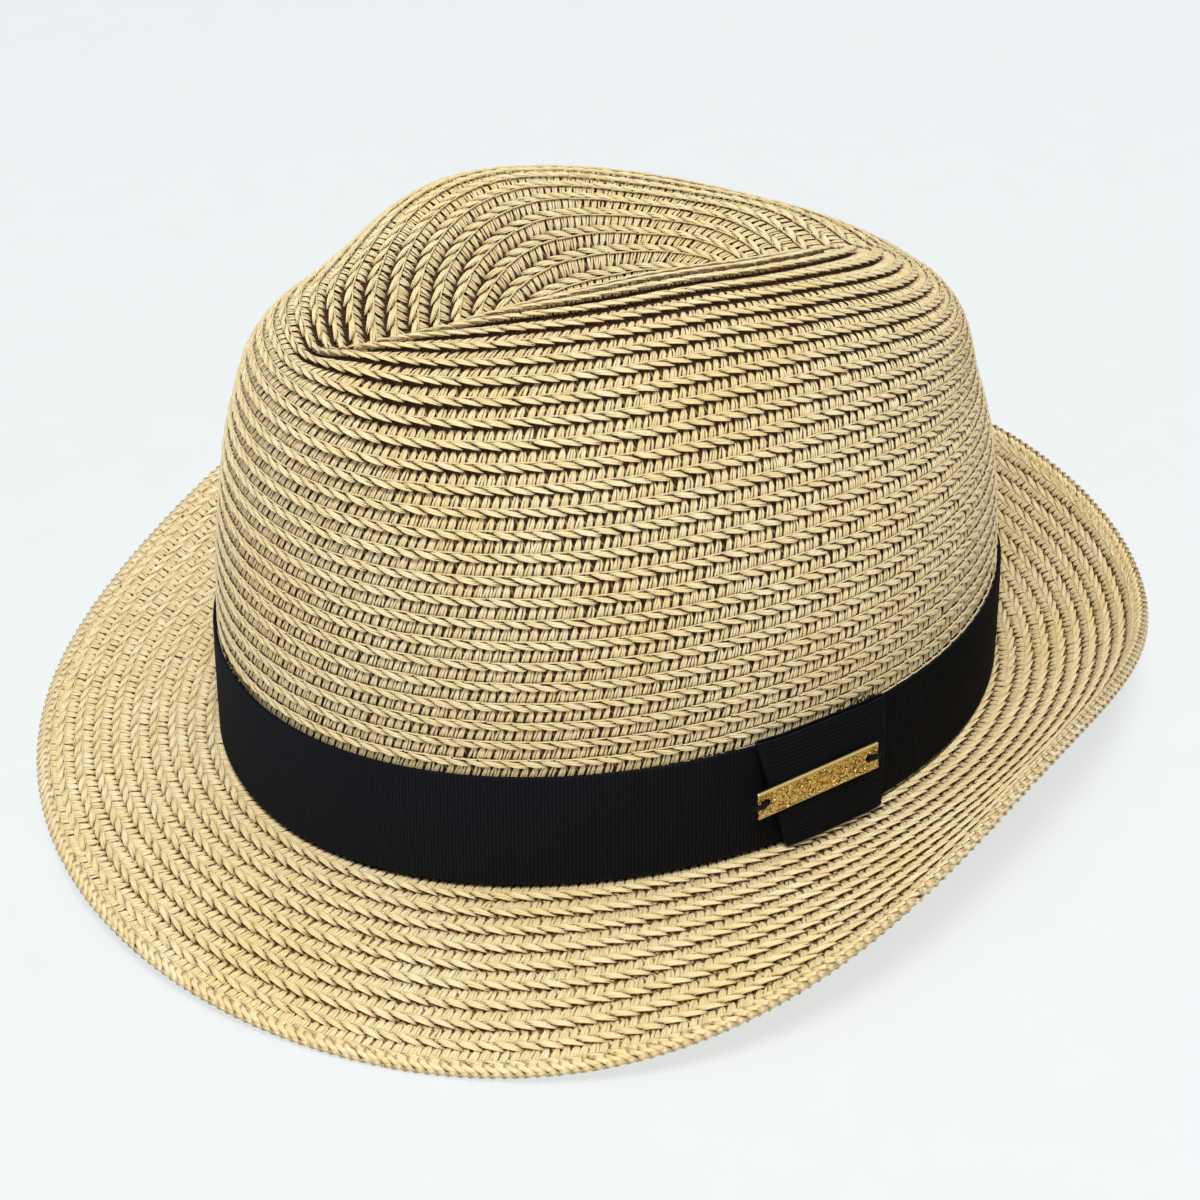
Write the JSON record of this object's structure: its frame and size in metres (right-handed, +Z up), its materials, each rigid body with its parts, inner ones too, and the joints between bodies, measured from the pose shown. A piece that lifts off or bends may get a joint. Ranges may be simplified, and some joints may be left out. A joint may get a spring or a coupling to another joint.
{
  "type": "straw fedora hat",
  "caption": "Short-brimmed fedora of sewn paper-straw braid with a centre-creased crown, a ribbon band, a flat bow and a small metal plate.",
  "frame": {"origin": "on the table plane, under the middle of the hat's bounding box", "axes": "+Z up, -Y towards the front of the hat (the pinched end), +X towards the wearer's left, where the bow is"},
  "size_m": [0.2738, 0.2904, 0.1383],
  "materials": {
    "straw": "twisted paper-straw braid, light natural straw colour",
    "ribbon": "black grosgrain with fine upright ribs",
    "plate": "gold-coloured, hammered face, polished rim",
    "black_thread": "black sewing thread",
    "sweatband": "woven cotton tape",
    "seam_thread": "cream sewing thread",
    "label": "blank woven label"
  },
  "bodies": {
    "root": {"crown_top": "straw", "crown_side": "straw", "brim_braid": "straw", "brim_edge": "straw", "hat_band": "ribbon", "bow_loop": "ribbon", "bow_tail": "ribbon", "metal_plate": "plate", "plate_thread_front": "black_thread", "plate_thread_back": "black_thread", "sweatband": "sweatband", "sweatband_seam": "seam_thread", "size_label": "label"}
  },
  "joints": []
}
